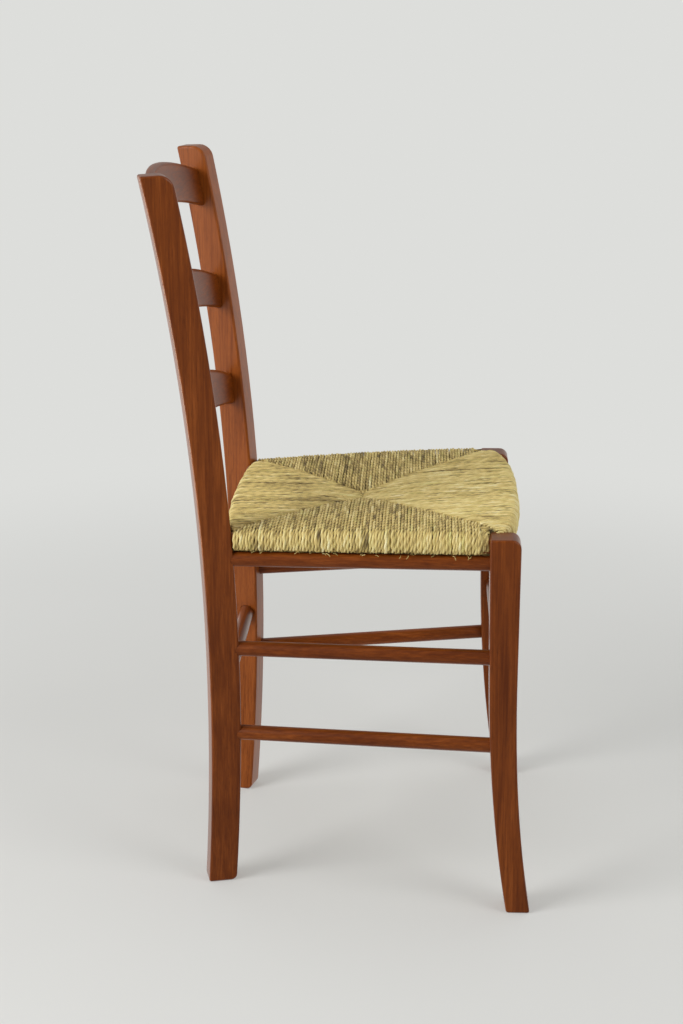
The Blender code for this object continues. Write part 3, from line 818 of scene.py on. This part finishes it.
def surroundings():
    world = bpy.data.worlds.new("studio")
    bpy.context.scene.world = world
    n = Nodes(world)
    split = n.add("ShaderNodeSeparateXYZ")
    n.link(n.add("ShaderNodeTexCoord").outputs["Generated"], split.inputs[0])
    away = split.outputs["X"]
    bright = n.math("ADD", n.math("MULTIPLY", away, 0.68), 0.4, clamp=True)
    bright = n.math("MINIMUM", bright, 0.8)
    below = n.fade(split.outputs["Z"], 0.12, -0.05, 0.0, 0.2)
    lit_floor = n.math("MULTIPLY", below, n.math("MAXIMUM", away, 0.0))
    grey = n.ramp(n.math("ADD", bright, lit_floor), SURROUNDINGS)
    seen = n.add("ShaderNodeLightPath").outputs["Is Camera Ray"]
    background = n.add("ShaderNodeBackground")
    n.link(n.mix("MIX", seen, grey, BACKDROP), background.inputs["Color"])
    n.end(background, "ShaderNodeOutputWorld")


def paper_floor():
    """A pale paper floor, which fades into the backdrop. Near the chair part of it glows as well,
    painted light that lightens the shadows there.
    """
    size = FLOOR_HALF
    corners = ((-size, -size, 0), (size, -size, 0), (size, size, 0), (-size, size, 0))
    mesh = bpy.data.meshes.new("floor")
    mesh.from_pydata(corners, [], [(0, 1, 2, 3)])
    material = bpy.data.materials.new("paper")
    n = Nodes(material)
    place = n.add("ShaderNodeTexCoord").outputs["Object"]
    length = n.add("ShaderNodeVectorMath", operation="LENGTH")
    n.link(place, length.inputs[0])
    cloud = n.noise(n.stretched(place, (1.3, 1.3, 1.3)), 1.0, 3.0)
    diffuse = n.add("ShaderNodeBsdfDiffuse")
    n.link(n.ramp(cloud, PAPER), diffuse.inputs["Color"])
    backdrop_glow_and_painted_light = n.add("ShaderNodeEmission")
    backdrop_glow_and_painted_light.inputs["Color"].default_value = (*BACKDROP, 1)
    blend = n.add("ShaderNodeMixShader")
    # far away the floor glows fully as backdrop; near the chair 0.35 of it glows, painted light that
    # lightens the shadows
    n.link(n.fade(length.outputs["Value"], 0.55, 2.0, 0.35, 1.0), blend.inputs[0])
    n.link(diffuse.outputs[0], blend.inputs[1])
    n.link(backdrop_glow_and_painted_light.outputs[0], blend.inputs[2])
    n.end(blend)
    mesh.materials.append(material)
    floor = bpy.data.objects.new("floor", mesh)
    bpy.context.scene.collection.objects.link(floor)
    floor.visible_glossy = False


def lamp(name):
    place, aim, width, height, power = LAMPS[name]
    data = bpy.data.lights.new(name, "AREA")
    data.shape = "RECTANGLE" if height else "DISK"
    data.size = width
    data.size_y = height or width
    data.energy = power
    light = bpy.data.objects.new(name, data)
    light.location = place
    light.rotation_mode = "QUATERNION"
    light.rotation_quaternion = (Vector(place) - Vector(aim)).to_track_quat("Z", "Y")
    light.visible_camera = False
    bpy.context.scene.collection.objects.link(light)
    return light


def lights():
    lamp("left_box")
    lamp("right_box")
    lamp("top_box").visible_glossy = False
    # the reflectors only show as a sheen, and the low one only on the near rear leg's back edge
    low = lamp("low_reflector")
    low.visible_diffuse = False
    low.data.color = LOW_REFLECTOR_COLOUR
    lit = bpy.data.collections.new("low_reflector_lit")
    lit.objects.link(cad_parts["rear_leg_right"])
    low.light_linking.receiver_collection = lit
    lamp("side_reflector").visible_diffuse = False


# ---- camera ----

CAMERA_PLACE = (-2.2970, -0.1047, 1.1007)
YAW, PITCH, TILT = map(math.radians, (2.68, -16.04, -0.17))
LENS, SENSOR = 66.34, 36  # millimetres


def camera():
    level = math.cos(PITCH)
    ahead = Vector((level * math.cos(YAW), level * math.sin(YAW), math.sin(PITCH)))
    right = ahead.cross(Vector((0, 0, 1))).normalized()
    up = right.cross(ahead)
    x = right * math.cos(TILT) + up * math.sin(TILT)
    y = up * math.cos(TILT) - right * math.sin(TILT)
    data = bpy.data.cameras.new("camera")
    data.lens = LENS
    data.sensor_width = SENSOR
    data.clip_end = 300
    cam = bpy.data.objects.new("camera", data)
    axes = Matrix((x, y, -ahead)).transposed()
    cam.matrix_world = Matrix.Translation(CAMERA_PLACE) @ axes.to_4x4()
    bpy.context.scene.collection.objects.link(cam)
    bpy.context.scene.camera = cam


# ---- all of it ----

bpy.context.scene.view_settings.view_transform = "Standard"
camera()
surroundings()
paper_floor()
lights()
dress_wood()
dress_seat()
